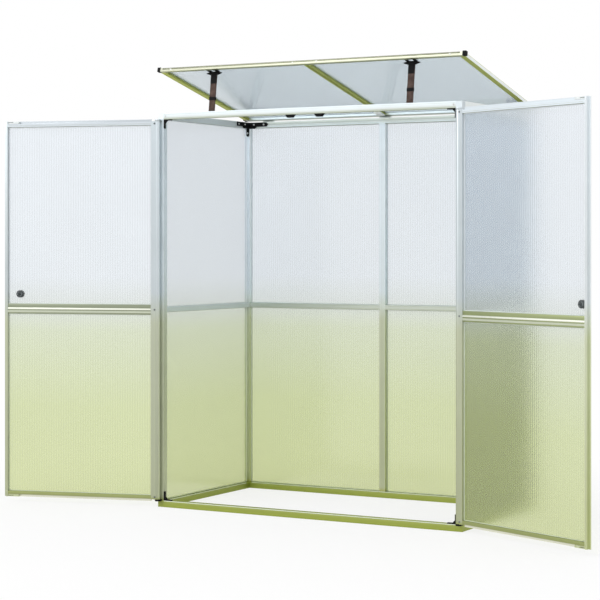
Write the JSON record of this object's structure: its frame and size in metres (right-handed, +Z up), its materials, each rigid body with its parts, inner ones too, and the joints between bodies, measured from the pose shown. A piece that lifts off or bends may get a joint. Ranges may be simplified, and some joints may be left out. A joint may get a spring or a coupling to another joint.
{
  "type": "cabinet greenhouse",
  "caption": "Upright cabinet greenhouse with an aluminium frame, frosted twin-wall panels, double front doors standing open and a rear-hinged roof lid on folding stays.",
  "frame": {"origin": "middle of the underside of the front sill, on the ground", "axes": "+X to the right when looking in through the doors, +Y from the doors to the rear wall, +Z up"},
  "size_m": [2.9231, 1.1281, 2.011],
  "materials": {
    "aluminium": "mill-finish extruded aluminium, satin",
    "twin_wall_sheet": "frosted clear twin-wall sheet with fine upright flutes",
    "black_plastic": "moulded black plastic",
    "brown_plastic": "dark brown ribbed plastic strap"
  },
  "bodies": {
    "frame": {"front_sill": "aluminium", "rear_sill": "aluminium", "left_sill": "aluminium", "right_sill": "aluminium", "front_left_post": "aluminium", "front_right_post": "aluminium", "rear_left_post": "aluminium", "rear_right_post": "aluminium", "rear_middle_post": "aluminium", "front_header": "aluminium", "rear_top_rail": "aluminium", "side_top_rails": "aluminium", "side_mid_rails": "aluminium", "rear_mid_rails": "aluminium", "left_wall_panels": "twin_wall_sheet", "right_wall_panels": "twin_wall_sheet", "rear_wall_panels": "twin_wall_sheet", "rear_corner_brackets": "black_plastic", "front_corner_gussets": "black_plastic", "door_catches": "black_plastic", "door_hinge_plates": "black_plastic", "door_top_hinge_plates": "aluminium", "lid_hinge_leaves": "aluminium"},
    "left_door": {"left_door_hinge_stile": "aluminium", "left_door_free_stile": "aluminium", "left_door_rails": "aluminium", "left_door_panels": "twin_wall_sheet", "left_door_knob": "black_plastic"},
    "right_door": {"right_door_hinge_stile": "aluminium", "right_door_free_stile": "aluminium", "right_door_rails": "aluminium", "right_door_panels": "twin_wall_sheet", "right_door_knob": "black_plastic"},
    "lid": {"lid_front_rail": "aluminium", "lid_rear_rail": "aluminium", "lid_side_rails": "aluminium", "lid_middle_bar": "aluminium", "lid_panels": "twin_wall_sheet", "lid_corner_caps": "black_plastic", "lid_hinge_knuckles": "aluminium", "lid_stay_brackets": "black_plastic"},
    "left_stay": {"left_stay_strap": "brown_plastic", "left_stay_sleeves": "black_plastic"},
    "right_stay": {"right_stay_strap": "brown_plastic", "right_stay_sleeves": "black_plastic"}
  },
  "joints": [
    {"name": "left_door_hinge", "type": "hinge", "parent": "frame", "child": "left_door", "pos_m": [-0.753, -0.031, 0.902], "axis": [0, 0, -1], "range_deg": [-164.5, 10.5]},
    {"name": "right_door_hinge", "type": "hinge", "parent": "frame", "child": "right_door", "pos_m": [0.753, -0.031, 0.902], "axis": [0, 0, 1], "range_deg": [-156.5, 18.5]},
    {"name": "lid_hinge", "type": "hinge", "parent": "frame", "child": "lid", "pos_m": [0, 0.783, 1.8025], "axis": [1, 0, 0], "range_deg": [0, 13.3]},
    {"name": "left_stay_pivot", "type": "hinge", "parent": "lid", "child": "left_stay", "pos_m": [-0.498, 0.04885, 1.97656], "axis": [1, 0, 0], "range_deg": [0, 81]},
    {"name": "right_stay_pivot", "type": "hinge", "parent": "lid", "child": "right_stay", "pos_m": [0.498, 0.04885, 1.97656], "axis": [1, 0, 0], "range_deg": [0, 81]}
  ]
}
